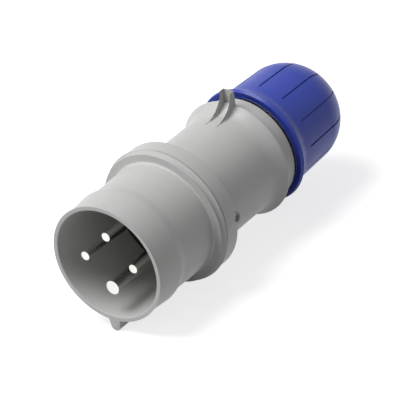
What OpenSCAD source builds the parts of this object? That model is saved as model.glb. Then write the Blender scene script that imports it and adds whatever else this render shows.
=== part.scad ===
// Industrial pin and sleeve plug, four round pins, straight, with a screwed cable gland.
// The plug lies with its axis along Y. Its mouth faces -Y, with the mouth's centre at the origin.
// The locking hook is at the top (+Z), the guide key and the earth pin are at the bottom (-Z).
// Each piece is drawn along its own axis from the mouth (z = 0) with y up, and lie() sets it down.

/* [Shroud] */
// Inner radius of the shroud at its mouth
shroud_bore_r = 22.6; // [22:0.1:24]
// Wall of the shroud at its mouth
shroud_wall = 2.35; // [2.1:0.05:3]
// Length from the mouth to the front face of the collar
shroud_len = 35.8; // [32:0.1:42]
// How much the bore narrows from the mouth to the contact carrier
bore_draft = 1.4; // [1:0.1:1.8]
// Length of the thicker band behind the mouth
band_len = 12.5; // [8:0.5:16]
// Taper of that band, on the radius
band_draft = 0.5; // [0.2:0.05:0.6]
// Drop of the outside behind the band, on the radius
band_drop = 1; // [0.4:0.05:1.1]
// Length of the smooth step behind the band
step_len = 5.5; // [3:0.5:9]
// Rounding of the rim's outer edge
rim_round = 0.6; // [0.3:0.05:0.9]
// Rounding of the rim's inner edge
rim_inner_round = 0.35; // [0.2:0.05:0.5]

/* [Guide key] */
// Width of the guide key at its root
key_w = 5; // [4:0.1:6]
// Radius of the key's rounded crest
key_crest_r = 2.1; // [1.6:0.05:2.3]
// Height of the key above the shroud
key_rise = 4.05; // [3:0.05:4.5]
// Length of the key from the mouth
key_len = 24; // [15:0.5:26]

/* [Collar] */
// Height of the collar above the shroud
collar_rise = 2.8; // [2.4:0.05:4]
// Length of the collar's front part, which belongs to the shroud
collar_front_len = 2.8; // [2.2:0.1:5]
// Length of the collar's rear part, which belongs to the handle
collar_rear_len = 7.1; // [6.5:0.1:10]
// Open joint line between the two parts
parting_gap = 0.3; // [0.2:0.05:0.5]
// Taper of the rear part, on the radius
collar_draft = 0.6; // [0.2:0.05:0.8]
// Rounding of the collar's front edge
collar_round = 0.9; // [0.4:0.1:1.5]
// Radius of the cove behind the collar
collar_cove = 2.5; // [1.5:0.1:3.5]

/* [Handle] */
// Radius of the handle behind the collar
handle_r = 21.35; // [21:0.05:22.5]
// Taper of the handle towards the lip, on the radius
handle_draft = 0.45; // [0:0.05:0.6]
// Length from the collar to the rear of the lip
handle_len = 38.5; // [34:0.5:50]
// Wall of the handle
handle_wall = 2.4; // [2.1:0.05:2.8]
// Height of the lip above the handle
lip_rise = 3; // [2:0.1:4]
// Length of the flare that leads up to the lip
flare_len = 6; // [4:0.5:9]
// Length of the lip
lip_len = 2; // [1.4:0.1:3]
// Step from the thread up to the plain neck behind the lip
neck_step = 2.45; // [1.8:0.05:3]
// Wall of the neck
neck_wall = 3; // [2.4:0.1:3.6]
// Length of the neck
neck_len = 6.5; // [5:0.5:10]

/* [Locking hook] */
// Width of the hook over both walls
hook_w = 4.8; // [4:0.1:6]
// Thickness of each wall of the hook
hook_wall = 1.1; // [0.8:0.1:1.3]
// Length of the hook along the handle
hook_len = 13.5; // [10:0.5:18]
// Height of the hook above the handle
hook_rise = 8.6; // [6:0.1:10]
// Length of the hook's flat top
hook_top_len = 2.6; // [1.6:0.1:3.4]
// Thickness of the web behind the hook's two walls
hook_web = 1.1; // [0.8:0.1:1.3]
// Length of the solid toe in front of the hollow
hook_toe = 1.6; // [0.8:0.1:2.4]

/* [Housing lock] */
// Place of the lock screw around the axis, above +X
lock_angle = 3; // [-30:1:30]
// Radius of the boss around the lock screw
lock_boss_r = 2.3; // [2.1:0.1:2.6]
// Radius of the lock screw's head
lock_head_r = 1.3; // [1.1:0.05:1.4]
// Radius of the lock screw's shank
lock_shank_r = 0.9; // [0.7:0.05:1]
// Depth of the screw's head below the boss
lock_recess = 0.9; // [0.5:0.1:1.2]

/* [Contacts] */
// Radius of the circle that the pins stand on
pin_circle_r = 11; // [10.5:0.1:12]
// Radius of a live pin
pin_r = 2.5; // [2.3:0.05:2.8]
// Radius of the earth pin
earth_r = 3.5; // [3.2:0.05:3.7]
// Depth of the pin tips behind the mouth
pin_recess = 1.5; // [0.5:0.1:6]
// Rounding of the pin tips
tip_round = 0.7; // [0.3:0.05:1]
// Step of a pin's shoulder over its shaft
shoulder_step = 1.1; // [0.8:0.1:1.3]
// Relief of a pin where it stands in the carrier, on the radius
pin_relief = 0.2; // [0.1:0.05:0.3]
// Length of a pin's shoulder
shoulder_len = 6; // [4:0.5:7]
// Length of the terminal blade behind the retainer
blade_len = 11; // [9:0.5:14]
// Thickness of the terminal blade
blade_t = 1.8; // [1.4:0.1:2]

/* [Terminals] */
// Length of a terminal cage along the plug
cage_len = 6; // [5:0.5:7]
// Wall of a terminal cage
cage_wall = 1.3; // [1:0.1:1.5]
// Clearance between the heads of the terminal screws and the handle's wall
screw_clear = 1.5; // [0.8:0.1:2]
// Width of the wire space in a cage
cage_room_w = 5; // [4.5:0.1:5.2]
// Radius of a live terminal screw
live_screw_r = 1.5; // [1.2:0.05:1.6]
// Radius of the earth terminal screw
earth_screw_r = 1.75; // [1.5:0.05:1.9]
// Thickness of a terminal screw's head
screw_head_t = 1.6; // [1.2:0.1:1.8]

/* [Contact carrier] */
// Length of the carrier's centring boss in front of its seat
carrier_boss_len = 1.5; // [1:0.1:3]
// Thickness of the carrier's flange
carrier_flange_t = 3; // [2.5:0.1:3.5]
// Length of the carrier's block behind the flange
carrier_block_len = 9; // [8.5:0.5:11]
// Thickness of the retainer that closes the carrier
retainer_t = 3; // [2:0.1:4]
// Length of the partitions between the terminals
partition_len = 13; // [11:0.5:15]
// Thickness of the partitions
partition_t = 1.6; // [1.2:0.1:2]
// Radius of the retainer screw's head
retainer_head_r = 3; // [2.6:0.1:3.2]
// Radius of the retainer screw's shank
retainer_shank_r = 1.6; // [1.3:0.1:1.8]

/* [Cable gland] */
// Length of the threaded spigot
thread_len = 13; // [12:0.5:16]
// Wall of the spigot, which holds the seal
spigot_wall = 2.4; // [2:0.1:3]
// Length of the seat's ledge in front of the seal, behind the neck's end
seat_setback = 4; // [3:0.5:5]
// Width of the seat's ledge
seat_ledge = 2.6; // [1.6:0.1:4]
// Length of the gland seal
seal_len = 7.5; // [5:0.5:8]
// Radius of the hole through the seal
seal_hole_r = 8; // [6:0.5:8.5]
// Length of the collet's base ring
collet_base_len = 3; // [2:0.5:4]
// Length of the collet's fingers
finger_len = 10; // [8:0.5:10.5]
// Number of fingers of the collet
finger_count = 8; // [6:1:12]
// Width of the slots between the fingers
finger_slot = 1.6; // [1:0.1:2]
// Radius of the cord of the ring between neck and nut
neck_ring_cord_r = 0.75; // [0.5:0.05:0.8]

/* [Gland nut] */
// Gap between the neck and the nut
nut_gap = 1.2; // [1:0.1:2]
// Height of the nut's flange above its body
nut_flange_rise = 2.6; // [2:0.1:3.5]
// Length of the flange
nut_flange_len = 1.6; // [1:0.1:3]
// Length of the cove behind the flange
nut_cove_len = 6.2; // [4:0.1:8]
// Radius of the nut's body behind the cove
nut_body_r = 21.1; // [20.9:0.05:21.6]
// Length of the nut's body between the cove and the dome
nut_body_len = 16.9; // [15:0.1:20]
// Wall of the nut's body over its thread
nut_wall = 1.75; // [1.4:0.05:2.2]
// Taper of the body, on the radius
nut_draft = 0.75; // [0.2:0.05:0.9]
// Length that the full dome would have
dome_len = 18.35; // [17:0.05:22]
// Length of the dome that is left by its flat end
dome_cut_len = 14.9; // [13:0.1:15.5]
// Radius of the cable hole in the dome
cable_hole_r = 9; // [8:0.1:9.4]
// Wall of the dome at its equator
dome_wall = 3.8; // [3:0.1:4.4]
// Number of grooves along the nut
groove_count = 12; // [6:1:18]
// Width of a groove
groove_w = 0.7; // [0.4:0.05:1]
// Depth of a groove
groove_depth = 0.45; // [0.2:0.05:0.7]
// Thickness of the thrust ring
thrust_t = 2.9; // [2:0.1:4]

/* [Fits] */
// Clearance around pieces that slide or turn in others
run_gap = 0.35; // [0.3:0.01:0.45]
// Clearance around pieces that are held still
seat_gap = 0.1; // [0.05:0.01:0.15]
// Clearance around a moulded piece pushed into another
push_gap = 0.3; // [0.2:0.01:0.4]

/* [Hidden] */
$fn = 96;

// Colours
light_grey = [0.72, 0.72, 0.71];
dark_grey = [0.2, 0.2, 0.21];
nickel = [0.8, 0.8, 0.78];
steel = [0.62, 0.63, 0.65];
rubber_black = [0.08, 0.08, 0.08];
collet_white = [0.86, 0.86, 0.82];
gland_blue = [0.12, 0.24, 0.62];

// Places along the axis, from the mouth
collar_front_z = shroud_len;
parting_z = collar_front_z + collar_front_len;
rear_half_z = parting_z + parting_gap;
collar_end_z = rear_half_z + collar_rear_len;
lip_end_z = collar_end_z + handle_len;
lip_z = lip_end_z - lip_len;
flare_z = lip_z - flare_len;
neck_end_z = lip_end_z + neck_len;
thread_end_z = neck_end_z + thread_len;

// Radii of the housings
shroud_r = shroud_bore_r + shroud_wall;
band_end_r = shroud_r - band_draft;
shroud_rear_r = band_end_r - band_drop;
bore_end_r = shroud_bore_r - bore_draft;
key_root = 0.5;
collar_r = shroud_r + collar_rise;
collar_end_r = collar_r - collar_draft;
handle_end_r = handle_r - handle_draft;
lip_r = handle_end_r + lip_rise;
chamber_r = handle_end_r - handle_wall + 0.3 * handle_draft;
thread_r = nut_body_r - nut_wall - run_gap;
neck_r = thread_r + neck_step;
neck_bore_r = neck_r - neck_wall;
neck_taper_len = 5;
edge_break = 0.25;

// Joint between the housings: a tail of the shroud in the handle's socket, with a gasket
tail_wall = 1.3;
socket_wall = 2.55;
socket_r = collar_r - socket_wall;
tail_r = socket_r - push_gap;
tail_bore_r = tail_r - tail_wall;
gasket_depth = 1;
gasket_w = 1.2;
socket_floor = 1.5;
socket_end_z = collar_end_z - socket_floor;
tail_end_z = socket_end_z - push_gap;
ledge_z = parting_z - 0.6;
root_fillet = 0.8;

// Contact carrier, from its seat on the shroud's ledge
carrier_face_z = ledge_z - carrier_boss_len;
flange_end_z = ledge_z + carrier_flange_t;
block_end_z = flange_end_z + carrier_block_len;
retainer_end_z = block_end_z + retainer_t;
carrier_gap = 0.6;
carrier_r = chamber_r - carrier_gap;
shoulder_z = block_end_z - shoulder_len;
pilot_depth = 8;
partition_from_r = retainer_head_r + 1.3;
retainer_head_t = 2;

// Terminals: the blade lies at the inner side of the cage, the screw comes from outside
cage_z = retainer_end_z + 4;
screw_lift = 0.4;
cage_inner_r = pin_circle_r - 2.8;
cage_outer_r = chamber_r - screw_clear - screw_head_t - screw_lift - cage_wall;
cage_room = cage_outer_r - cage_inner_r;
live_blade_w = 4.2;
waist_len = 1;
relief_setback = 1;
screw_head_over = 1;

// Lock screw in its boss
boss_z = collar_end_z + 0.2;
boss_top_r = collar_end_r - 0.2;
lock_head_t = 0.9;
lock_head_seat_r = boss_top_r - lock_recess - lock_head_t;

// Gland
seat_z = neck_end_z + seat_setback;
seal_end_z = seat_z + seal_len;
spigot_bore_r = thread_r - spigot_wall;
seat_hole_r = spigot_bore_r - seat_ledge;
seal_r = spigot_bore_r - push_gap;
collet_hole_r = seal_hole_r + 1.6;
collet_end_z = seal_end_z + collet_base_len + finger_len;
finger_t = 2.6;
finger_tip_in = 2.8;
neck_ring_r = thread_r + neck_ring_cord_r + 0.05;

// Gland nut
nut_z = neck_end_z + nut_gap;
nut_flange_r = nut_body_r + nut_flange_rise;
nut_body_z = nut_z + nut_flange_len + nut_cove_len;
dome_z = nut_body_z + nut_body_len;
dome_r = nut_body_r - nut_draft;
nut_end_z = dome_z + dome_cut_len;
nut_bore_r = thread_r + run_gap;
mouth_bore_r = neck_ring_r + neck_ring_cord_r + run_gap;
mouth_bore_len = 2.2;
travel_room = 6;
nut_bore_end_z = thread_end_z + travel_room;
thrust_seat_z = dome_z - 0.4;
thrust_r = dome_r - 2.75;
thrust_pocket_r = thrust_r + push_gap;
groove_setback = 2;
groove_z = nut_body_z + groove_setback;
groove_end = 2.5;
notch_w = 1.4;
notch_len = 1.1;

// Points of an arc about [r, z], from angle a0 to a1
function arc(r, z, radius, a0, a1, steps = 6) =
    [for (i = [0:steps]) let (a = a0 + (a1 - a0) * i / steps) [r + radius * cos(a), z + radius * sin(a)]];

// Points of a smooth step from [r0, z0] to [r1, z1], without its ends
function smooth_step(r0, z0, r1, z1, steps = 10) =
    [for (i = [1:steps - 1]) let (t = i / steps) [r0 + (r1 - r0) * t * t * (3 - 2 * t), z0 + (z1 - z0) * t]];

// Points of a cove that rises by `rise` to `top` at its far end, without its ends
function cove(base, rise, z0, z1, steps = 10) =
    [for (i = [1:steps - 1]) let (t = i / steps) [base + rise * t * t, z0 + (z1 - z0) * t]];

module turned(points) {
    rotate_extrude() polygon(points);
}

// Puts a piece drawn along z, with y up, on its place along Y
module lie() {
    rotate([90, 0, 180]) children();
}

// Turns what is drawn along +x to an angle above +X on the plug that lies down
module at_angle(angle) {
    rotate([0, 0, 180 - angle]) children();
}

// Points a piece drawn along +z outwards along +x
module outwards() {
    rotate([0, 90, 0]) children();
}

// Extrudes [r, z] points sideways, with r pointing up
module upright_plate(width, points) {
    rotate([90, 0, 90]) linear_extrude(width, center = true) polygon(points);
}

module shroud_shell() {
    turned(concat(
        arc(shroud_bore_r + rim_inner_round, rim_inner_round, rim_inner_round, 180, 270),
        arc(shroud_r - rim_round, rim_round, rim_round, -90, 0),
        [[band_end_r, band_len]],
        smooth_step(band_end_r, band_len, shroud_rear_r, band_len + step_len),
        [[shroud_rear_r, band_len + step_len]],
        arc(shroud_rear_r + root_fillet, collar_front_z - root_fillet, root_fillet, 180, 90),
        arc(collar_r - collar_round, collar_front_z + collar_round, collar_round, -90, 0),
        arc(collar_r - edge_break, parting_z - edge_break, edge_break, 0, 90, 3),
        [[tail_r, parting_z], [tail_r, tail_end_z], [tail_bore_r, tail_end_z],
            [tail_bore_r, ledge_z], [bore_end_r, ledge_z]]));
}

module guide_key() {
    crest_y = shroud_r + key_rise - key_crest_r;
    root_y = max(shroud_rear_r - key_root, shroud_bore_r + seat_gap);
    rotate([0, 0, 180]) linear_extrude(key_len) {
        polygon([[-key_w / 2, root_y], [key_w / 2, root_y], [key_crest_r, crest_y], [-key_crest_r, crest_y]]);
        translate([0, crest_y]) circle(key_crest_r);
    }
}

module shroud_body() {
    color(light_grey) lie() {
        shroud_shell();
        guide_key();
    }
}

module pin_places(angles) {
    for (angle = angles) at_angle(angle) translate([pin_circle_r, 0, 0]) children();
}

live_angles = [180, 90, 0];
earth_angles = [270];

module pin_hole(r) {
    translate([0, 0, carrier_face_z - 1]) cylinder(r = r + seat_gap, h = block_end_z);
    translate([0, 0, shoulder_z]) cylinder(r = r + shoulder_step + seat_gap, h = shoulder_len + 1);
}

module pin_carrier() {
    color(dark_grey) lie() difference() {
        turned(concat([[0, carrier_face_z]],
            arc(bore_end_r - push_gap - edge_break, carrier_face_z + edge_break, edge_break, -90, 0, 3),
            [[bore_end_r - push_gap, ledge_z], [tail_bore_r - push_gap, ledge_z],
                [tail_bore_r - push_gap, flange_end_z], [carrier_r, flange_end_z],
                [carrier_r, block_end_z], [0, block_end_z]]));
        pin_places(live_angles) pin_hole(pin_r);
        pin_places(earth_angles) pin_hole(earth_r);
        translate([0, 0, block_end_z - pilot_depth])
            cylinder(r = retainer_shank_r + seat_gap, h = pilot_depth + 1);
    }
}

module partition() {
    for (angle = [45:90:315]) at_angle(angle)
        translate([partition_from_r, -partition_t / 2, block_end_z + retainer_t / 2])
            cube([carrier_r - 1 - partition_from_r, partition_t, retainer_t / 2 + partition_len]);
}

module carrier_retainer() {
    color(dark_grey) lie() difference() {
        union() {
            translate([0, 0, block_end_z]) cylinder(r = carrier_r, h = retainer_t);
            partition();
        }
        translate([0, 0, block_end_z - 1]) {
            pin_places(live_angles) cylinder(r = pin_r + seat_gap, h = retainer_t + 2);
            pin_places(earth_angles) cylinder(r = earth_r + seat_gap, h = retainer_t + 2);
            cylinder(r = retainer_shank_r + seat_gap, h = retainer_t + 2);
        }
    }
}

// A screw drawn along -z under its head, with a slot in the head
module slotted_screw(head_r, head_t, shank_r, shank_len, slot_w) {
    head_round = 0.3;
    difference() {
        union() {
            turned(concat([[0, 0], [head_r, 0]],
                arc(head_r - head_round, head_t - head_round, head_round, 0, 90, 4), [[0, head_t]]));
            translate([0, 0, -shank_len]) cylinder(r = shank_r, h = shank_len + head_t / 2);
        }
        translate([-head_r - 1, -slot_w / 2, head_t * 0.5]) cube([2 * head_r + 2, slot_w, head_t]);
    }
}

module retainer_screw() {
    color(steel) lie() translate([0, 0, retainer_end_z])
        slotted_screw(retainer_head_r, retainer_head_t, retainer_shank_r, retainer_t + pilot_depth - 1, 0.8);
}

// One contact: rounded tip, true shaft, relieved part in the carrier, shoulder, waist and terminal blade
module contact(r) {
    blade_low = cage_inner_r - pin_circle_r;
    waist_r = r - pin_relief;
    free_end_z = carrier_face_z - relief_setback;
    turned(concat([[0, pin_recess]], arc(r - tip_round, pin_recess + tip_round, tip_round, -90, 0),
        [[r, free_end_z], [waist_r, free_end_z], [waist_r, shoulder_z], [r + shoulder_step, shoulder_z],
            [r + shoulder_step, block_end_z], [waist_r, block_end_z], [waist_r, retainer_end_z + waist_len],
            [0, retainer_end_z + waist_len]]));
    intersection() {
        translate([blade_low, -live_blade_w / 2, retainer_end_z]) cube([blade_t, live_blade_w, blade_len]);
        translate([-pin_circle_r, 0, 0]) cylinder(r = chamber_r, h = retainer_end_z + blade_len);
    }
    // The blade's root reaches under the pin's waist
    intersection() {
        translate([blade_low, -live_blade_w / 2, retainer_end_z])
            cube([blade_t - blade_low, live_blade_w, waist_len]);
        cylinder(r = waist_r, h = retainer_end_z + 2 * waist_len);
    }
}

module pin(angle, r) {
    color(nickel) lie() pin_places([angle]) contact(r);
}

module pin_l1() {
    pin(live_angles[0], pin_r);
}

module pin_l2() {
    pin(live_angles[1], pin_r);
}

module pin_l3() {
    pin(live_angles[2], pin_r);
}

module pin_earth() {
    pin(earth_angles[0], earth_r);
}

module cage(angles, screw_r) {
    outer_h = cage_room + 2 * cage_wall;
    outer_w = cage_room_w + 2 * cage_wall;
    for (angle = angles) at_angle(angle) difference() {
        translate([cage_inner_r - cage_wall, -outer_w / 2, cage_z]) cube([outer_h, outer_w, cage_len]);
        translate([cage_inner_r, -cage_room_w / 2, cage_z - 1]) cube([cage_room, cage_room_w, cage_len + 2]);
        translate([cage_outer_r - 1, 0, cage_z + cage_len / 2]) outwards()
            cylinder(r = screw_r + seat_gap, h = cage_wall + 2);
    }
}

module live_terminal_cages() {
    color(steel) lie() cage(live_angles, live_screw_r);
}

module earth_terminal_cage() {
    color(steel) lie() cage(earth_angles, earth_screw_r);
}

module terminal_screw(angles, screw_r) {
    head_seat = cage_outer_r + cage_wall + screw_lift;
    for (angle = angles) at_angle(angle) translate([head_seat, 0, cage_z + cage_len / 2]) outwards()
        slotted_screw(screw_r + screw_head_over, screw_head_t, screw_r, cage_wall + screw_lift + 1.4, 0.7);
}

module live_terminal_screws() {
    color(steel) lie() terminal_screw(live_angles, live_screw_r);
}

module earth_terminal_screw() {
    color(steel) lie() terminal_screw(earth_angles, earth_screw_r);
}

module housing_gasket() {
    inner_r = tail_r + seat_gap;
    outer_r = inner_r + gasket_w;
    floor_z = rear_half_z + gasket_depth;
    color(rubber_black) lie()
        turned([[inner_r, parting_z], [outer_r, parting_z], [outer_r, floor_z], [inner_r, floor_z]]);
}

module handle_shell() {
    gasket_pocket_r = tail_r + 2 * seat_gap + gasket_w;
    lip_round = lip_len / 2;
    rear_round = 0.6;
    turned(concat(
        [[gasket_pocket_r, rear_half_z]],
        arc(collar_r - edge_break, rear_half_z + edge_break, edge_break, -90, 0, 3),
        arc(collar_end_r - rear_round, collar_end_z - rear_round, rear_round, 0, 90),
        arc(handle_r + collar_cove, collar_end_z + collar_cove, collar_cove, 270, 180),
        [[handle_end_r, flare_z]],
        cove(handle_end_r, lip_rise - 0.35, flare_z, lip_z + 0.2),
        arc(lip_r - lip_round, lip_end_z - lip_round, lip_round, -45, 90),
        [[neck_r, lip_end_z]],
        arc(neck_r - 0.4, neck_end_z - 0.4, 0.4, 0, 90, 4),
        [[thread_r, neck_end_z], [thread_r, thread_end_z - 0.8], [thread_r - 0.8, thread_end_z],
            [spigot_bore_r, thread_end_z], [spigot_bore_r, seat_z], [seat_hole_r, seat_z],
            [seat_hole_r, neck_end_z], [neck_bore_r, neck_end_z - neck_taper_len], [neck_bore_r, lip_z],
            [chamber_r, flare_z], [chamber_r, socket_end_z + 1],
            [chamber_r + 1, socket_end_z], [socket_r, socket_end_z], [socket_r, rear_half_z + gasket_depth],
            [gasket_pocket_r, rear_half_z + gasket_depth]]));
}

// The locking hook: two walls that rise in a curve, with a web behind them
module locking_hook() {
    top_y = handle_end_r + hook_rise;
    end_z = lip_end_z - 0.5;
    toe_z = end_z - hook_len;
    run = hook_len - hook_top_len;
    root_y = handle_end_r - 1;
    floor_y = handle_end_r + 0.2;
    front = [for (i = [0:14]) let (a = 90 * i / 14) [top_y - hook_rise * cos(a), toe_z + run * sin(a)]];
    difference() {
        upright_plate(hook_w, concat([[root_y, toe_z]], front, [[top_y, end_z], [root_y, end_z]]));
        upright_plate(hook_w - 2 * hook_wall, [[floor_y, toe_z + hook_toe], [floor_y, end_z - hook_web],
            [top_y + 1, end_z - hook_web], [top_y + 1, toe_z + hook_toe]]);
    }
}

// The boss stays out of the socket that takes the shroud's tail
module lock_boss() {
    difference() {
        at_angle(lock_angle) translate([handle_r - 1, 0, boss_z]) outwards()
            cylinder(r = lock_boss_r, h = boss_top_r - handle_r + 1);
        translate([0, 0, rear_half_z]) cylinder(r = socket_r + edge_break, h = socket_end_z - rear_half_z);
    }
}

module lock_hole() {
    at_angle(lock_angle) {
        translate([carrier_r, 0, boss_z]) outwards() cylinder(r = lock_shank_r + seat_gap, h = collar_r);
        translate([lock_head_seat_r, 0, boss_z]) outwards()
            cylinder(r = lock_head_r + seat_gap, h = collar_r);
    }
}

module handle_body() {
    color(light_grey) lie() difference() {
        union() {
            handle_shell();
            locking_hook();
            lock_boss();
        }
        lock_hole();
    }
}

module housing_lock_screw() {
    color(steel) lie() at_angle(lock_angle) translate([lock_head_seat_r, 0, boss_z]) outwards()
        slotted_screw(lock_head_r, lock_head_t, lock_shank_r, lock_head_seat_r - carrier_r - push_gap, 0.5);
}

module neck_ring() {
    color(rubber_black) lie() rotate_extrude()
        translate([neck_ring_r, neck_end_z + neck_ring_cord_r]) circle(neck_ring_cord_r, $fn = 32);
}

module gland_seal() {
    color(rubber_black) lie()
        turned([[seal_hole_r, seat_z], [seal_r, seat_z], [seal_r, seal_end_z], [seal_hole_r, seal_end_z]]);
}

module clamping_collet() {
    base_end_z = seal_end_z + collet_base_len;
    root_r = seal_r - 0.3;
    tip_r = root_r - finger_tip_in;
    color(collet_white) lie() difference() {
        turned([[collet_hole_r, seal_end_z], [seal_r, seal_end_z], [seal_r, base_end_z], [root_r, base_end_z],
            [tip_r, collet_end_z], [tip_r - finger_t, collet_end_z], [root_r - finger_t, base_end_z],
            [collet_hole_r, base_end_z - 1.2]]);
        for (i = [0:finger_count - 1]) rotate([0, 0, (i + 0.5) * 360 / finger_count])
            translate([0, -finger_slot / 2, base_end_z]) cube([seal_r + 1, finger_slot, finger_len + 1]);
    }
}

// The ring's cone lies over the collet's fingers, with room for tightening
module thrust_ring() {
    cone_gap = 0.55;
    slope = finger_tip_in / finger_len;
    top_z = thrust_seat_z - seat_gap;
    low_z = top_z - thrust_t;
    cone_low_r = seal_r - 0.3 - (low_z - seal_end_z - collet_base_len) * slope + cone_gap;
    color(collet_white) lie() turned([[cone_low_r, low_z], [thrust_r, low_z], [thrust_r, top_z],
        [cone_low_r - thrust_t * slope, top_z]]);
}

// Outline of the nut, sunk by `sink` along the grooves
function nut_outline(sink) = concat(
    [[nut_flange_r - sink, nut_z + nut_flange_len]],
    [for (i = [1:12]) let (t = i / 12) [nut_body_r - sink + (nut_flange_r - nut_body_r) * pow(1 - t, 2.2),
        nut_z + nut_flange_len + nut_cove_len * t]],
    [for (i = [0:16]) let (z = dome_cut_len * sin(90 * i / 16))
        [(dome_r - sink) * sqrt(1 - pow(z / (dome_len - sink / 2), 2)), dome_z + z]]);

module nut_solid(sink) {
    turned(concat([[0, nut_z]], sink > 0 ? [[nut_flange_r - sink, nut_z]] :
        arc(nut_flange_r - 0.4, nut_z + 0.4, 0.4, -90, 0, 4), nut_outline(sink), [[0, nut_end_z]]));
}

module nut_hollow() {
    inner_r = thrust_pocket_r - 1.6;
    dome_depth = dome_len - dome_wall - 1.2;
    turned(concat([[0, nut_z - 1], [mouth_bore_r, nut_z - 1], [mouth_bore_r, nut_z + mouth_bore_len],
        [nut_bore_r, nut_z + mouth_bore_len + mouth_bore_r - nut_bore_r], [nut_bore_r, nut_bore_end_z - 1.5],
        [thrust_pocket_r, nut_bore_end_z], [thrust_pocket_r, thrust_seat_z]],
        [for (i = [0:10]) let (z = dome_depth * sin(60 * i / 10))
            [inner_r * sqrt(1 - pow(z / dome_depth, 2)), thrust_seat_z + z]],
        [[0, thrust_seat_z + dome_depth * sin(60)]]));
    translate([0, 0, thrust_seat_z]) cylinder(r = cable_hole_r, h = dome_len);
}

// Grooves, cut between the nut and the same outline sunk by their depth
module nut_grooves() {
    difference() {
        for (i = [0:groove_count - 1]) rotate([0, 0, 90 + i * 360 / groove_count])
            translate([cable_hole_r, -groove_w / 2, groove_z])
                cube([nut_flange_r, groove_w, nut_end_z - groove_end - groove_z]);
        nut_solid(groove_depth);
    }
}

module gland_nut() {
    color(gland_blue) lie() difference() {
        nut_solid(0);
        nut_hollow();
        nut_grooves();
        at_angle(0) translate([mouth_bore_r + 1, -notch_w / 2, nut_z - 1])
            cube([nut_flange_r, notch_w, 1 + notch_len]);
    }
}

shroud_body();
pin_carrier();
carrier_retainer();
retainer_screw();
pin_l1();
pin_l2();
pin_l3();
pin_earth();
live_terminal_cages();
earth_terminal_cage();
live_terminal_screws();
earth_terminal_screw();
housing_gasket();
handle_body();
housing_lock_screw();
neck_ring();
gland_seal();
clamping_collet();
thrust_ring();
gland_nut();
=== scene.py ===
import bpy, bmesh, math
from mathutils import Matrix, Quaternion, Vector


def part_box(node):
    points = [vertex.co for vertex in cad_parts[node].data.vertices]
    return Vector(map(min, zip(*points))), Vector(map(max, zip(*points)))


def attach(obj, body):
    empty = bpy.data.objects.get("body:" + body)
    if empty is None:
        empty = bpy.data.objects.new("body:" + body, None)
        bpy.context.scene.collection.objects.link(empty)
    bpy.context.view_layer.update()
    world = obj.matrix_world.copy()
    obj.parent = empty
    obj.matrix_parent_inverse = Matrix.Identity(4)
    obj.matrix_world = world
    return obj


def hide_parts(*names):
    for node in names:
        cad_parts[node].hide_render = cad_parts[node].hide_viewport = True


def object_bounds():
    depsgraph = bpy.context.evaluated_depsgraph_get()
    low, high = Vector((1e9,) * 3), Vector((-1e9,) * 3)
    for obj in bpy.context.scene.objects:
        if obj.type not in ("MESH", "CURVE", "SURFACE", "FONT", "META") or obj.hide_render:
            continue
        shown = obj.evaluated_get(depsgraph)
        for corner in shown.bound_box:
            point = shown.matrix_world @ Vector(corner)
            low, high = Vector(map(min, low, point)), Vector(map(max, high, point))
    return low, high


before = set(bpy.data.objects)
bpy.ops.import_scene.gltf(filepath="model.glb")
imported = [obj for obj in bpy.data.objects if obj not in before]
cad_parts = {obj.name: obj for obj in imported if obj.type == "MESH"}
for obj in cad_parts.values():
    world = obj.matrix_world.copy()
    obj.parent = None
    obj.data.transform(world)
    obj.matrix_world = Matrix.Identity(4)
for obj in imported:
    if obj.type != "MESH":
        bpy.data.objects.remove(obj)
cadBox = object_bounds()
scene = bpy.context.scene
mm = 0.001
print("frame loaded,", len(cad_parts), "nodes")


# camera: a long lens from the front right and above, rolled a little
shot = {"azimuth": 39.6, "elevation": 30.7, "roll": -7.73, "distance": 6224.9,
        "lens": 1500, "sensor": 36, "near": 0.1, "far": 20, "sideways": -3.55, "upwards": -7.67}

a, e = math.radians(shot["azimuth"]), math.radians(shot["elevation"])
back = Vector((math.sin(a) * math.cos(e), -math.cos(a) * math.cos(e), math.sin(e)))
turn = (-back).to_track_quat("-Z", "Y") @ Quaternion((0, 0, 1), math.radians(shot["roll"]))
centre = (cadBox[0] + cadBox[1]) / 2
aim = centre + turn @ Vector((shot["sideways"] * mm, shot["upwards"] * mm, 0))
camera = bpy.data.objects.new("camera", bpy.data.cameras.new("camera"))
camera.data.lens, camera.data.sensor_width = shot["lens"], shot["sensor"]
camera.data.clip_start, camera.data.clip_end = shot["near"], shot["far"]
camera.rotation_mode = "QUATERNION"
camera.location, camera.rotation_quaternion = aim + back * shot["distance"] * mm, turn
scene.collection.objects.link(camera)
scene.camera = camera


# a shader socket that takes part in sums
class Wire:
    def __init__(self, finish, socket):
        self.finish, self.socket = finish, socket

    def sum(self, operation, first, second=0.0):
        return self.finish.node("ShaderNodeMath", {"operation": operation}, {0: first, 1: second})

    def __add__(self, other): return self.sum("ADD", self, other)
    def __radd__(self, other): return self.sum("ADD", other, self)
    def __sub__(self, other): return self.sum("SUBTRACT", self, other)
    def __rsub__(self, other): return self.sum("SUBTRACT", other, self)
    def __mul__(self, other): return self.sum("MULTIPLY", self, other)
    def __rmul__(self, other): return self.sum("MULTIPLY", other, self)


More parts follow.
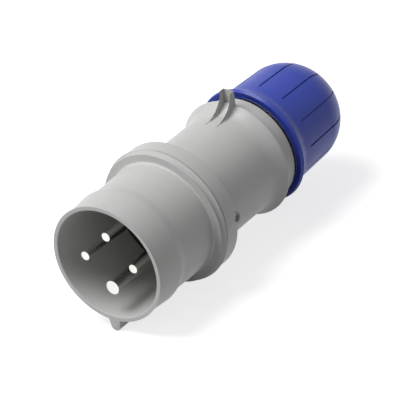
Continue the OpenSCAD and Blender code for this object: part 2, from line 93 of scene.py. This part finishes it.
# a material with its node tree; node() adds any node and gives one of its outputs
class Finish:
    def __init__(self, name, tree=None):
        self.tree = tree
        if tree is None:
            self.material = bpy.data.materials.new(name)
            self.material.use_nodes = True
            self.tree = self.material.node_tree
            self.shader = self.tree.nodes["Principled BSDF"]
        self.place = self.node("ShaderNodeTexCoord", out="Object")

    def node(self, kind, settings={}, sockets={}, out=0):
        made = self.tree.nodes.new(kind)
        for key, value in settings.items():
            setattr(made, key, value)
        for key, value in sockets.items():
            self.give(made.inputs[key], value)
        return Wire(self, made.outputs[out])

    # links a wire to a socket, or sets a plain value on it
    def give(self, socket, value):
        if isinstance(value, Wire):
            self.tree.links.new(value.socket, socket)
        else:
            socket.default_value = value

    def noise(self, scale, detail=2.0, stretch=None, rough=0.5):
        place = self.place
        if stretch:
            place = self.node("ShaderNodeMapping", {}, {"Vector": place, "Scale": stretch})
        return self.node("ShaderNodeTexNoise", {}, {"Vector": place, "Scale": scale, "Detail": detail,
                                                    "Roughness": rough})

    def blend(self, mask, colourA, colourB):
        return self.node("ShaderNodeMix", {"data_type": "RGBA"}, {0: mask, 6: colourA, 7: colourB}, 2)

    def ramp(self, wire, low, high):
        return self.node("ShaderNodeMapRange", {}, {"Value": wire, "From Min": low, "From Max": high})

    def bump(self, height, strength, distance):
        return self.node("ShaderNodeBump", {}, {"Height": height, "Strength": strength, "Distance": distance})

    def wear(self, **sockets):
        for key, value in sockets.items():
            self.give(self.shader.inputs[key.replace("_", " ")], value)
        return self.material


def grey(level):
    return (level, level, level, 1)


# moulded plastic: cloudy colour, uneven gloss and a fine grained skin
def mouldedPlastic(name, light, dark, rough, grain, **more):
    f = Finish(name)
    cloud = f.noise(45, 4)
    speck = f.noise(900, 2)
    mask = f.ramp(cloud * 0.75 + speck * 0.25, 0.32, 0.68)
    skin = f.noise(3200, 3, rough=0.6)
    waves = f.noise(70, 2)
    height = skin * 0.35 + waves
    return f.wear(Base_Color=f.blend(mask, dark, light),
                  Roughness=rough + (f.noise(240, 3) - 0.5) * 0.16,
                  Normal=f.bump(height, grain, 0.0004), Specular_IOR_Level=0.3, **more)


# turned metal: fine lines along the plug, smeared gloss
def turnedMetal(name, colour, rough, rings):
    f = Finish(name)
    lines = f.noise(rings, 2, (0.02, 1, 0.02))
    smear = f.noise(160, 3)
    dull = tuple(c * 0.86 for c in colour[:3]) + (1,)
    return f.wear(Base_Color=f.blend(f.ramp(smear, 0.35, 0.7), colour, dull),
                  Metallic=1.0, Roughness=rough + (lines - 0.5) * 0.1 + (smear - 0.5) * 0.12,
                  Normal=f.bump(lines, 0.06, 0.00005))


finishes = {
    "housing_grey": mouldedPlastic("housingGrey", (0.50, 0.50, 0.495, 1), (0.465, 0.465, 0.46, 1), 0.4, 0.07),
    "gland_blue": mouldedPlastic("glandBlue", (0.034, 0.062, 0.40, 1), (0.028, 0.052, 0.345, 1), 0.36, 0.08),
    # the carrier's near-black colour is painted shade, standing in for the shade deep inside the shroud
    "carrier_dark": mouldedPlastic("carrierPaintedShade", grey(0.028), grey(0.018), 0.5, 0.1),
    "collet_nylon": mouldedPlastic("colletNylon", (0.72, 0.71, 0.66, 1), (0.66, 0.65, 0.6, 1), 0.45, 0.06,
                                   Subsurface_Weight=0.1),
    "seal_rubber": mouldedPlastic("sealRubber", grey(0.022), grey(0.012), 0.62, 0.15),
    "pin_nickel": turnedMetal("pinNickel", (0.80, 0.79, 0.75, 1), 0.2, 5200),
    "screw_steel": turnedMetal("screwSteel", (0.58, 0.58, 0.60, 1), 0.3, 3000)}
print("finishes ready:", ", ".join(finishes))


# rounds the corners of a profile given as (radius, place, rounding)
def rounded(corners, closed=True):
    points = []
    count = len(corners)
    for i, (x, y, r) in enumerate(corners):
        here = Vector((x, y))
        if r <= 0 or (not closed and i in (0, count - 1)):
            points.append(here)
            continue
        before = (Vector(corners[i - 1][:2]) - here).normalized()
        after = (Vector(corners[(i + 1) % count][:2]) - here).normalized()
        half = before.angle(after) / 2
        middle = here + (before + after).normalized() * (r / math.sin(half))
        start = here + before * (r / math.tan(half)) - middle
        sweep = math.pi - 2 * half
        side = 1 if start.x * after.y - start.y * after.x > 0 else -1
        steps = max(2, round(math.degrees(sweep) / 11))
        for k in range(steps + 1):
            t = side * sweep * k / steps
            points.append(middle + Matrix.Rotation(t, 2) @ start)
    return points


def easeStep(r0, y0, r1, y1, steps=12):
    ts = [i / steps for i in range(1, steps)]
    return [(r0 + (r1 - r0) * t * t * (3 - 2 * t), y0 + (y1 - y0) * t, 0) for t in ts]


# spins a profile about Y; a closed profile makes a ring, an open one starts and ends on the axis
def spinProfile(bm, points, steps=192, closed=True):
    verts = [bm.verts.new(Vector((p[0], p[1], 0)) * mm) for p in points]
    pairs = list(zip(verts, verts[1:])) + ([(verts[-1], verts[0])] if closed else [])
    edges = [bm.edges.new(pair) for pair in pairs]
    bmesh.ops.spin(bm, geom=verts + edges, cent=(0, 0, 0), axis=(0, 1, 0), dvec=(0, 0, 0),
                   angle=2 * math.pi, steps=steps, use_merge=True, use_duplicate=False)


build = {"weld": 0.002, "sharpAngle": 32, "cutDistance": 1e-7}


def allOf(bm):
    return bm.verts[:] + bm.edges[:] + bm.faces[:]


def isSharp(edge, degrees):
    return len(edge.link_faces) == 2 and edge.calc_face_angle(0) > math.radians(degrees)


# makes an object of a bmesh: faces turned outwards, smooth but for its sharp edges
def makePiece(bm, name, slotName, body, nodes):
    bmesh.ops.remove_doubles(bm, verts=bm.verts, dist=build["weld"] * mm)
    bmesh.ops.recalc_face_normals(bm, faces=bm.faces)
    for face in bm.faces:
        face.smooth = True
    for edge in bm.edges:
        edge.smooth = len(edge.link_faces) == 2 and not isSharp(edge, build["sharpAngle"])
    mesh = bpy.data.meshes.new(name)
    bm.to_mesh(mesh)
    bm.free()
    mesh.materials.append(finishes[slotName])
    piece = bpy.data.objects.new(name, mesh)
    scene.collection.objects.link(piece)
    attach(piece, body)
    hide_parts(*nodes)
    print("made", name, len(mesh.polygons), "faces")


# how far a fillet's skin reaches into the wall, past its edge and below the surface
fillet = {"steps": 5, "intoWall": 0.3, "pastEdge": 0.12, "edgeSink": 0.03, "depth": 0.5}


# a small concave fillet where a raised feature meets a turned surface
# path: (sideways, along, fillet) around the feature's foot, radiusAt gives the surface, angle is above +X
def rootFillet(bm, path, radiusAt, angle):
    f = fillet
    spot = Matrix.Rotation(-math.radians(angle), 3, "Y")
    last = len(path) - 1

    def ring(i):
        u, y, rho = path[i]
        ahead, behind = path[min(i + 1, last)], path[max(i - 1, 0)]
        along = Vector((ahead[0] - behind[0], ahead[1] - behind[1])).normalized()
        out = Vector((along.y, -along.x))
        quarter = [math.pi / 2 * k / f["steps"] for k in range(f["steps"] + 1)]
        section = [(-f["intoWall"], rho)]
        section += [(rho * (1 - math.cos(t)), rho * (1 - math.sin(t))) for t in quarter]
        section += [(rho + f["pastEdge"], -f["edgeSink"]), (-f["intoWall"], -f["depth"])]
        points = []
        for reach, lift in section:
            x, z = u + out.x * reach, y + out.y * reach
            surface = math.sqrt(radiusAt(z) ** 2 - x ** 2)
            points.append(spot @ Vector((surface + lift, z, -x)) * mm)
        return points

    first = [bm.verts.new(p) for p in ring(0)]
    edges = [bm.edges.new(pair) for pair in zip(first, first[1:] + first[:1])]
    bmesh.ops.contextual_create(bm, geom=edges)
    for i in range(1, last + 1):
        grown = bmesh.ops.extrude_edge_only(bm, edges=edges)["geom"]
        edges = [g for g in grown if isinstance(g, bmesh.types.BMEdge)
                 and all(v in grown for v in g.verts)]
        verts = [g for g in grown if isinstance(g, bmesh.types.BMVert)]
        # the new ring keeps the order of the first, so each vertex takes its own point
        links = {v: next(n for n in (e.other_vert(v) for e in v.link_edges) if n not in verts) for v in verts}
        order = {v: i for i, v in enumerate(first)}
        points = ring(i)
        for v in verts:
            v.co = points[order[links[v]]]
        first = sorted(verts, key=lambda v: order[links[v]])
    bmesh.ops.contextual_create(bm, geom=edges)


# a turned surface's radius at a place, between stations (place, radius)
def lerpRadius(stations):
    def radiusAt(y):
        for (y0, r0), (y1, r1) in zip(stations, stations[1:]):
            if y <= y1:
                return r0 + (r1 - r0) * max(0, y - y0) / (y1 - y0)
        return stations[-1][1]
    return radiusAt


# shroud with its guide key
shroud = {"bore": 22.6, "boreDeep": 21.2, "outside": 24.95, "bandEnd": 24.45, "rear": 23.45,
          "bandLength": 12.5, "stepLength": 5.5, "collarFront": 35.8, "collar": 27.75, "parting": 38.6,
          "tail": 24.9, "tailBore": 23.6, "tailEnd": 44.2, "ledge": 38.0}
key = {"width": 5.0, "crest": 2.1, "tip": 29.0, "length": 24.0, "root": 22.95, "straight": 2.0,
       "behindRim": 0.58, "filletStart": 0.55, "fillet": 0.7, "edgeAbove": 24.6, "edgeRound": 0.3}


def makeShroud():
    s = shroud
    stepEnd = s["bandLength"] + s["stepLength"]
    corners = [(s["bore"], 0, 0.35), (s["outside"], 0, 0.6), (s["bandEnd"], s["bandLength"], 0)]
    corners += easeStep(s["bandEnd"], s["bandLength"], s["rear"], stepEnd)
    corners += [(s["rear"], stepEnd, 0), (s["rear"], s["collarFront"], 0.8),
                (s["collar"], s["collarFront"], 0.9), (s["collar"], s["parting"], 0.25),
                (s["tail"], s["parting"], 0), (s["tail"], s["tailEnd"], 0.2),
                (s["tailBore"], s["tailEnd"], 0.2), (s["tailBore"], s["ledge"], 0),
                (s["boreDeep"], s["ledge"], 0)]
    bm = bmesh.new()
    spinProfile(bm, rounded(corners))
    makeKey(bm)
    makePiece(bm, "shroudMoulding", "housing_grey", "housing", ["shroud_body"])


# the key is drawn upright and then turned to the bottom
def makeKey(bm):
    k, s = key, shroud
    crestPlace = k["tip"] - k["crest"]
    arch = [(k["crest"] * math.cos(t), crestPlace + k["crest"] * math.sin(t))
            for t in [math.pi * i / 20 for i in range(21)]]
    half, end, shoulder = k["width"] / 2, k["length"], k["root"] + k["straight"]
    outline = [(half, k["root"]), (half, shoulder)] + arch + [(-half, shoulder), (-half, k["root"])]
    own = bmesh.new()
    verts = [own.verts.new(Vector((x, 0, z)) * mm) for x, z in outline]
    face = own.faces.new(verts)
    grown = bmesh.ops.extrude_face_region(own, geom=[face])["geom"]
    bmesh.ops.translate(own, verts=[g for g in grown if isinstance(g, bmesh.types.BMVert)],
                        vec=(0, end * mm, 0))
    # the foot starts just behind the rim's face
    bmesh.ops.bisect_plane(own, geom=allOf(own), dist=build["cutDistance"],
                           plane_co=(0, 0, (s["outside"] - k["behindRim"]) * mm),
                           plane_no=(0, -1, -0.7), clear_outer=True)
    bmesh.ops.holes_fill(own, edges=own.edges)
    ends = [e for e in own.edges if all(v.co.z > k["edgeAbove"] * mm for v in e.verts)
            and (all(v.co.y < 0.001 * mm for v in e.verts)
                 or all(v.co.y > (end - 0.001) * mm for v in e.verts))]
    bmesh.ops.bevel(own, geom=ends, offset=k["edgeRound"] * mm, segments=3, profile=0.5, affect="EDGES",
                    material=-1)
    bmesh.ops.rotate(own, verts=own.verts, cent=(0, 0, 0), matrix=Matrix.Rotation(math.pi, 3, "Y"))
    joinInto(bm, own)
    surface = lerpRadius([(0, s["outside"] - 0.3), (0.6, s["outside"]), (s["bandLength"], s["bandEnd"]),
                          (s["bandLength"] + s["stepLength"], s["rear"]), (60, s["rear"])])
    path = [(half, k["filletStart"] + (end - k["filletStart"]) * i / 16, k["fillet"]) for i in range(17)]
    path += [(half - 2 * half * i / 8, end, k["fillet"]) for i in range(1, 8)]
    path += [(-half, p[1], p[2]) for p in path[16::-1]]
    rootFillet(bm, path, surface, 270)


# adds a closed bmesh to another
def joinInto(bm, other):
    mesh = bpy.data.meshes.new("part")
    bmesh.ops.recalc_face_normals(other, faces=other.faces)
    other.to_mesh(mesh)
    other.free()
    bm.from_mesh(mesh)
    bpy.data.meshes.remove(mesh)


makeShroud()


# handle: rear housing with collar, cove, lip, neck, threaded spigot, hook and lock boss
handle = {"front": 38.9, "collar": 27.75, "collarEnd": 46.0, "collarEndR": 27.15, "r": 21.35, "endR": 20.9,
          "cove": 2.5, "flare": 76.5, "flareTop": 0.35, "lipOverlap": 0.2, "lip": 82.5, "lipEnd": 84.5,
          "lipR": 23.9, "neck": 21.45, "neckEnd": 91.0, "threadDeep": 18.35, "end": 104.0, "spigotBore": 16.6,
          "seat": 95.0, "seatHole": 14.0, "neckBore": 18.45, "neckTaper": 5, "chamber": 18.635,
          "socket": 25.2, "socketEnd": 44.5, "pocket": 26.3, "pocketDepth": 1}
hook = {"width": 4.8, "wall": 1.1, "toe": 70.5, "toeSolid": 1.6, "end": 84.0, "web": 1.1, "top": 29.5,
        "topLength": 2.6, "root": 19.9, "fillet": 0.8, "edgeRound": 0.22, "crispAngle": 50}
boss = {"angle": 3, "place": 46.2, "r": 2.3, "foot": 21.2, "top": 26.95, "headHole": 1.4, "shankHole": 1.0,
        "headSeat": 25.15, "drillPlay": 0.12, "drillFrom": 16, "drillTo": 30}
thread = {"crestR": 19.0, "pitch": 3.0, "turns": 3.4, "steps": 72, "behindNeck": 1.9, "footHalf": 0.95,
          "crestHalf": 0.3, "sink": 0.1}


# the flare's height grows with the square of the way to the lip; it ends just inside the lip's rounding
def flarePoints(steps):
    h = handle
    rise = h["lipR"] - h["endR"] - h["flareTop"]
    length = h["lip"] + h["lipOverlap"] - h["flare"]
    return [(h["endR"] + rise * t * t, h["flare"] + length * t)
            for t in [i / steps for i in range(1, steps + 1)]]


def makeHandle():
    h = handle
    flare = [(r, y, 0) for r, y in flarePoints(14)[:-1]]
    lipRound = (h["lipEnd"] - h["lip"]) / 2
    lip = [(h["lipR"] - lipRound + lipRound * math.cos(t), h["lipEnd"] - lipRound + lipRound * math.sin(t), 0)
           for t in [math.radians(-45 + 135 * i / 12) for i in range(13)]]
    corners = [(h["pocket"], h["front"], 0), (h["collar"], h["front"], 0.25),
               (h["collarEndR"], h["collarEnd"], 0.6), (h["r"], h["collarEnd"], h["cove"]),
               (h["endR"], h["flare"], 0)] + flare + lip
    pocketEnd = h["front"] + h["pocketDepth"]
    corners += [(h["neck"], h["lipEnd"], 0.2), (h["neck"], h["neckEnd"], 0.4),
                (h["threadDeep"], h["neckEnd"], 0), (h["threadDeep"], h["end"], 0.5),
                (h["spigotBore"], h["end"], 0), (h["spigotBore"], h["seat"], 0),
                (h["seatHole"], h["seat"], 0), (h["seatHole"], h["neckEnd"], 0),
                (h["neckBore"], h["neckEnd"] - h["neckTaper"], 0), (h["neckBore"], h["lip"], 0),
                (h["chamber"], h["flare"], 0), (h["chamber"], h["socketEnd"] + 1, 0),
                (h["chamber"] + 1, h["socketEnd"], 0), (h["socket"], h["socketEnd"], 0),
                (h["socket"], pocketEnd, 0), (h["pocket"], pocketEnd, 0)]
    bm = bmesh.new()
    spinProfile(bm, rounded(corners))
    drillLock(bm)
    makeBoss(bm)
    makeHook(bm)
    makeThread(bm)
    makePiece(bm, "handleMoulding", "housing_grey", "housing", ["handle_body"])


# cuts with the exact boolean, on loose objects that go afterwards
def cutWith(bm, cutter):
    bmesh.ops.recalc_face_normals(bm, faces=bm.faces)
    bmesh.ops.recalc_face_normals(cutter, faces=cutter.faces)
    pair = []
    for source in (bm, cutter):
        mesh = bpy.data.meshes.new("work")
        source.to_mesh(mesh)
        piece = bpy.data.objects.new("work", mesh)
        scene.collection.objects.link(piece)
        pair.append(piece)
    cut = pair[0].modifiers.new("cut", "BOOLEAN")
    cut.operation, cut.solver, cut.object = "DIFFERENCE", "EXACT", pair[1]
    result = bpy.data.meshes.new_from_object(pair[0].evaluated_get(bpy.context.evaluated_depsgraph_get()))
    bm.clear()
    bm.from_mesh(result)
    cutter.free()
    for piece in pair:
        mesh = piece.data
        bpy.data.objects.remove(piece)
        bpy.data.meshes.remove(mesh)
    bpy.data.meshes.remove(result)


# a tube or rod that stands radially on the lock screw's place
def standRadially(bm, verts):
    for turned, axis in ((math.pi / 2, "Z"), (math.radians(boss["angle"]), "Y")):
        bmesh.ops.rotate(bm, verts=verts, cent=(0, 0, 0), matrix=Matrix.Rotation(-turned, 3, axis))
    bmesh.ops.translate(bm, verts=verts, vec=(0, boss["place"] * mm, 0))


def drillLock(bm):
    b = boss
    cutter = bmesh.new()
    wide, narrow, seat = b["headHole"] + b["drillPlay"], b["shankHole"] + b["drillPlay"], b["headSeat"] - 0.1
    spinProfile(cutter, [(0, b["drillFrom"]), (narrow, b["drillFrom"]), (narrow, seat), (wide, seat),
                         (wide, b["drillTo"]), (0, b["drillTo"])], 48, closed=False)
    bmesh.ops.remove_doubles(cutter, verts=cutter.verts, dist=build["cutDistance"])
    standRadially(cutter, cutter.verts)
    cutWith(bm, cutter)


def makeBoss(bm):
    b = boss
    own = bmesh.new()
    spinProfile(own, rounded([(b["shankHole"], b["foot"], 0), (b["r"], b["foot"], 0), (b["r"], b["top"], 0.3),
                              (b["headHole"], b["top"], 0.15), (b["headHole"], b["headSeat"], 0),
                              (b["shankHole"], b["headSeat"], 0)]), 48)
    standRadially(own, own.verts)
    joinInto(bm, own)


def makeHook(bm):
    k, h = hook, handle
    own = bmesh.new()
    half = k["width"] / 2
    run = k["end"] - k["toe"] - k["topLength"]
    rise = k["top"] - h["endR"]
    # plan of the walls: a rectangle with its middle taken out
    corners = [(-half, k["toe"]), (half, k["toe"]), (half, k["end"]), (-half, k["end"])]
    plan = own.faces.new([own.verts.new(Vector((x, y, k["root"])) * mm) for x, y in corners])
    bmesh.ops.inset_individual(own, faces=[plan], thickness=k["wall"] * mm, use_even_offset=True)
    for v in own.verts:
        if abs(v.co.x) < (half - 0.1) * mm:
            v.co.y = (k["toe"] + k["toeSolid"] if v.co.y < (k["toe"] + 5) * mm else k["end"] - k["web"]) * mm
    bmesh.ops.delete(own, geom=[plan], context="FACES")
    angles = [math.radians(90 * i / 18) for i in range(1, 19)]
    for t in angles:
        bmesh.ops.bisect_plane(own, geom=allOf(own), dist=build["cutDistance"],
                               plane_co=(0, (k["toe"] + run * math.sin(t)) * mm, 0), plane_no=(0, 1, 0))
    grown = bmesh.ops.extrude_face_region(own, geom=own.faces[:])["geom"]
    for v in [g for g in grown if isinstance(g, bmesh.types.BMVert)]:
        s = min(1, max(0, (v.co.y / mm - k["toe"]) / run))
        v.co.z = (k["top"] - rise * math.sqrt(1 - s * s)) * mm
    bmesh.ops.recalc_face_normals(own, faces=own.faces)
    crisp = [e for e in own.edges if isSharp(e, k["crispAngle"])
             and min(v.co.z for v in e.verts) > (h["endR"] - 0.6) * mm]
    bmesh.ops.bevel(own, geom=crisp, offset=k["edgeRound"] * mm, segments=2, profile=0.5, affect="EDGES",
                    material=-1, clamp_overlap=True)
    joinInto(bm, own)
    stations = [(h["collarEnd"], h["r"]), (h["flare"], h["endR"])] + [(y, r) for r, y in flarePoints(10)]
    stations += [(h["lipEnd"] - 0.9, h["lipR"])]
    surface = lerpRadius(stations)
    for side in (1, -1):
        path = []
        for i in range(17):
            y = k["toe"] + 2.0 + (k["end"] - 0.6 - k["toe"] - 2.0) * i / 16
            s = min(1, (y - k["toe"]) / run)
            wall = k["top"] - rise * math.sqrt(1 - s * s) - math.sqrt(surface(y) ** 2 - half ** 2)
            path.append((side * half, y, max(0.05, min(k["fillet"], 0.75 * wall))))
        rootFillet(bm, path if side > 0 else path[::-1], surface, 90)


# thread on the spigot: one tooth swept along a helix
def makeThread(bm):
    h, t = handle, thread
    own = bmesh.new()
    start, footR = h["neckEnd"] + t["behindNeck"], h["threadDeep"] - t["sink"]
    tooth = [(footR, -t["footHalf"]), (t["crestR"], -t["crestHalf"]), (t["crestR"], t["crestHalf"]),
             (footR, t["footHalf"])]
    face = own.faces.new([own.verts.new(Vector((r, start + y, 0)) * mm) for r, y in tooth])
    bmesh.ops.spin(own, geom=[face], cent=(0, 0, 0), axis=(0, 1, 0),
                   dvec=(0, t["pitch"] / t["steps"] * mm, 0), angle=2 * math.pi * t["turns"],
                   steps=round(t["turns"] * t["steps"]), use_duplicate=False)
    joinInto(bm, own)


makeHandle()


# gland nut, spun column by column so that its grooves have their own columns
nut = {"front": 92.2, "flange": 23.7, "flangeLength": 1.6, "coveLength": 6.2, "body": 21.1,
       "bodyLength": 16.9, "draft": 0.75, "domeLength": 18.35, "domeCut": 14.9, "domeShell": 5.0, "hole": 9.0,
       "mouthBore": 20.9, "mouthDepth": 2.2, "threadBore": 19.35, "threadBoreStart": 3.75,
       "threadBoreEnd": 110.0, "chamfer": 1.5, "pocket": 17.9, "pocketStep": 1.6, "seatSetback": 0.4,
       "grooves": 12, "grooveWidth": 0.7, "grooveDepth": 0.45, "grooveRim": 0.06, "grooveStart": 102.0, "grooveEnd": 129.3}


def makeNut():
    n = nut
    cove = n["front"] + n["flangeLength"]
    bodyStart = cove + n["coveLength"]
    dome = bodyStart + n["bodyLength"]
    domeR = n["body"] - n["draft"]
    end = dome + n["domeCut"]
    grooveFrom = (n["grooveStart"] - bodyStart) / n["bodyLength"]
    outside = [(n["flange"] - 0.1, cove, 0)]
    outside += [(n["body"] + (n["flange"] - n["body"]) * (1 - t) ** 2.2, cove + n["coveLength"] * t, 0)
                for t in [i / 16 for i in range(1, 17)]]
    outside += [(n["body"] - n["draft"] * t, bodyStart + n["bodyLength"] * t, 0)
                for t in sorted([i / 6 for i in range(1, 6)] + [grooveFrom])]
    domePlaces = sorted([n["domeCut"] * math.sin(math.radians(90 * i / 26)) for i in range(26)]
                        + [n["grooveEnd"] - dome])
    outside += [(domeR * math.sqrt(1 - (z / n["domeLength"]) ** 2), dome + z, 0) for z in domePlaces]
    flatR = domeR * math.sqrt(1 - (n["domeCut"] / n["domeLength"]) ** 2)
    seat = dome - n["seatSetback"]
    innerR, innerDepth = n["pocket"] - n["pocketStep"], n["domeLength"] - n["domeShell"]
    inside = [(innerR * math.sqrt(1 - (z / innerDepth) ** 2), seat + z, 0)
              for z in [innerDepth * math.sin(math.radians(6 * i)) for i in range(9, -1, -1)]]
    inside = [p for p in inside if p[0] > n["hole"]]
    corners = [(n["mouthBore"], n["front"], 0.2), (n["flange"], n["front"], 0.4)] + outside
    corners += [(flatR, end, 0.35), (n["hole"], end, 0.35), (n["hole"], inside[0][1] + 0.6, 0)] + inside
    corners += [(n["pocket"], seat, 0), (n["pocket"], n["threadBoreEnd"], 0),
                (n["threadBore"], n["threadBoreEnd"] - n["chamfer"], 0),
                (n["threadBore"], n["front"] + n["threadBoreStart"], 0),
                (n["mouthBore"], n["front"] + n["mouthDepth"], 0)]
    bm = bmesh.new()
    halfTurn = math.degrees(n["grooveWidth"] / 2 / n["body"])
    sector = 360 / n["grooves"]
    columns = [halfTurn, halfTurn] + [(sector - 2 * halfTurn) / 10] * 10
    first = Matrix.Rotation(math.radians(halfTurn), 3, "Y")
    verts = [bm.verts.new(first @ Vector((0, y, r)) * mm) for r, y in rounded(corners)]
    geom = verts + [bm.edges.new(pair) for pair in zip(verts, verts[1:] + verts[:1])]
    for step in columns:
        geom = bmesh.ops.spin(bm, geom=geom, cent=(0, 0, 0), axis=(0, 1, 0), dvec=(0, 0, 0),
                              angle=-math.radians(step), steps=1, use_duplicate=False)["geom_last"]
    bmesh.ops.spin(bm, geom=allOf(bm), cent=(0, 0, 0), axis=(0, 1, 0),
                   dvec=(0, 0, 0), angle=2 * math.pi, steps=n["grooves"], use_merge=True, use_duplicate=True)
    bmesh.ops.remove_doubles(bm, verts=bm.verts, dist=build["weld"] * mm)
    bmesh.ops.recalc_face_normals(bm, faces=bm.faces)
    # groove faces: the narrow outer columns from start to end
    band = []
    for face in bm.faces:
        c = face.calc_center_median() / mm
        off = math.degrees(math.atan2(c.x, c.z)) % sector
        onColumn = n["grooveStart"] < c.y < n["grooveEnd"] and min(off, sector - off) < halfTurn
        if onColumn and face.normal.dot(Vector((c.x, 0, c.z))) >= 0:
            outsideR = domeR * math.sqrt(1 - (max(0, c.y - dome) / n["domeLength"]) ** 2)
            if math.hypot(c.x, c.z) > outsideR - 1.0:
                band.append(face)
    bmesh.ops.inset_region(bm, faces=band, thickness=n["grooveRim"] * mm, depth=-n["grooveDepth"] * mm,
                           use_even_offset=True, use_boundary=True)
    makePiece(bm, "glandNut", "gland_blue", "gland_nut", ["gland_nut"])


makeNut()


# pins: rounded tip, shaft, shoulder, waist and the flat terminal blade
pins = {"circle": 11.0, "tipPlace": 1.5, "tipRound": 0.7, "freeEnd": 35.5, "relief": 0.2, "shoulder": 44.0,
        "blockEnd": 50.0, "step": 1.1, "waistEnd": 54.0, "bladeFrom": 53.0, "bladeEnd": 64.0,
        "bladeLow": -2.8, "bladeThick": 1.8, "bladeWidth": 4.2, "bladeEdge": 0.2}
contacts = {"pin_l1": (180, 2.5), "pin_l2": (90, 2.5), "pin_l3": (0, 2.5), "pin_earth": (270, 3.5)}


def makePin(name, angle, r):
    p = pins
    waist = r - p["relief"]
    corners = [(0, p["tipPlace"], 0), (r, p["tipPlace"], p["tipRound"]), (r, p["freeEnd"], 0),
               (waist, p["freeEnd"], 0), (waist, p["shoulder"], 0), (r + p["step"], p["shoulder"], 0.2),
               (r + p["step"], p["blockEnd"], 0.2), (waist, p["blockEnd"], 0), (waist, p["waistEnd"], 0.2),
               (0, p["waistEnd"], 0)]
    bm = bmesh.new()
    spinProfile(bm, rounded(corners, closed=False), 64, closed=False)
    blade = bmesh.new()
    bmesh.ops.create_cube(blade, size=1)
    size = Vector((p["bladeThick"], p["bladeEnd"] - p["bladeFrom"], p["bladeWidth"]))
    middle = Vector((p["bladeLow"] + p["bladeThick"] / 2, (p["bladeFrom"] + p["bladeEnd"]) / 2, 0))
    bmesh.ops.scale(blade, verts=blade.verts, vec=size * mm)
    bmesh.ops.translate(blade, verts=blade.verts, vec=middle * mm)
    bmesh.ops.bevel(blade, geom=blade.edges[:], offset=p["bladeEdge"] * mm, segments=2, profile=0.5,
                    affect="EDGES", material=-1)
    joinInto(bm, blade)
    bmesh.ops.translate(bm, verts=bm.verts, vec=(p["circle"] * mm, 0, 0))
    bmesh.ops.rotate(bm, verts=bm.verts, cent=(0, 0, 0), matrix=Matrix.Rotation(-math.radians(angle), 3, "Y"))
    makePiece(bm, name.replace("pin_", "contact_"), "pin_nickel", "housing", [name])


for name, (angle, r) in contacts.items():
    makePin(name, angle, r)


# dark ring between neck and nut
def makeNeckRing():
    low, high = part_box("neck_ring")
    cord = (high.y - low.y) / 2 / mm
    r, y = high.x / mm - cord, low.y / mm + cord
    bm = bmesh.new()
    spinProfile(bm, [(r + cord * math.cos(t), y + cord * math.sin(t))
                     for t in [2 * math.pi * i / 20 for i in range(20)]], 160)
    makePiece(bm, "neckRing", "seal_rubber", "housing", ["neck_ring"])


makeNeckRing()


# the CAD pieces that stay take the finish of their own slot
# the pin carrier and its retainer take the near-black painted-shade finish
slotOf = {"pin_carrier": "carrier_dark", "carrier_retainer": "carrier_dark", "retainer_screw": "screw_steel",
          "live_terminal_cages": "screw_steel", "earth_terminal_cage": "screw_steel",
          "live_terminal_screws": "screw_steel", "earth_terminal_screw": "screw_steel",
          "housing_gasket": "seal_rubber", "housing_lock_screw": "screw_steel", "gland_seal": "seal_rubber",
          "clamping_collet": "collet_nylon", "thrust_ring": "collet_nylon"}
for name, slotName in slotOf.items():
    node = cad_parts[name]
    for place in node.material_slots:
        place.material = finishes[slotName]
print("finished", len(slotOf), "CAD pieces")


# floor, world and lamps
studio = {"floor": 0.5, "floorGlow": 0.75, "floorHalf": 4, "floorGap": 0.1, "world": 0.2}
lamps = {"keyLamp": {"towards": (-0.32, -0.30, 0.90), "distance": 1.2, "size": 0.8, "power": 15.0},
         "fillLamp": {"towards": (-0.45, -0.85, 0.22), "distance": 1.4, "size": 0.6, "power": 2.6}}


# 1 for what the camera sees, straight or through metal and glass
def cameraSees(f):
    seen, glossy, through = [f.node("ShaderNodeLightPath", out="Is " + kind + " Ray")
                             for kind in ("Camera", "Glossy", "Transmission")]
    return seen.sum("MAXIMUM", seen, seen.sum("MAXIMUM", glossy, through))


def makeFloor():
    bm = bmesh.new()
    bmesh.ops.create_grid(bm, x_segments=2, y_segments=2, size=studio["floorHalf"])
    bmesh.ops.translate(bm, verts=bm.verts, vec=(0, 0, cadBox[0].z - studio["floorGap"] * mm))
    mesh = bpy.data.meshes.new("floor")
    bm.to_mesh(mesh)
    bm.free()
    floor = bpy.data.objects.new("floor", mesh)
    f = Finish("floorPale")
    pale = studio["floor"] + (f.noise(3, 2) - 0.5) * 0.01
    f.wear(Base_Color=f.blend(pale, grey(0), grey(1)), Roughness=0.9)
    f.wear(Emission_Color=f.blend(cameraSees(f), grey(0), grey(1)), Emission_Strength=studio["floorGlow"],
           Specular_IOR_Level=0.0)
    mesh.materials.append(f.material)
    scene.collection.objects.link(floor)


def makeWorld():
    world = bpy.data.worlds.new("studio")
    scene.world = world
    world.use_nodes = True
    f = Finish("world", world.node_tree)
    sky = world.node_tree.nodes["Background"]
    colour = f.blend(cameraSees(f), grey(studio["world"]), grey(1))
    world.node_tree.links.new(colour.socket, sky.inputs["Color"])


def makeLamp(name, towards, distance, size, power):
    data = bpy.data.lights.new(name, "AREA")
    data.shape, data.size, data.energy = "DISK", size, power
    lamp = bpy.data.objects.new(name, data)
    lamp.visible_camera = False
    away = Vector(towards).normalized()
    lamp.location = centre + away * distance
    lamp.rotation_mode = "QUATERNION"
    lamp.rotation_quaternion = (-away).to_track_quat("-Z", "Y")
    scene.collection.objects.link(lamp)


makeFloor()
makeWorld()
for name, lamp in lamps.items():
    makeLamp(name, **lamp)
scene.view_settings.view_transform = "Standard"
print("studio ready")
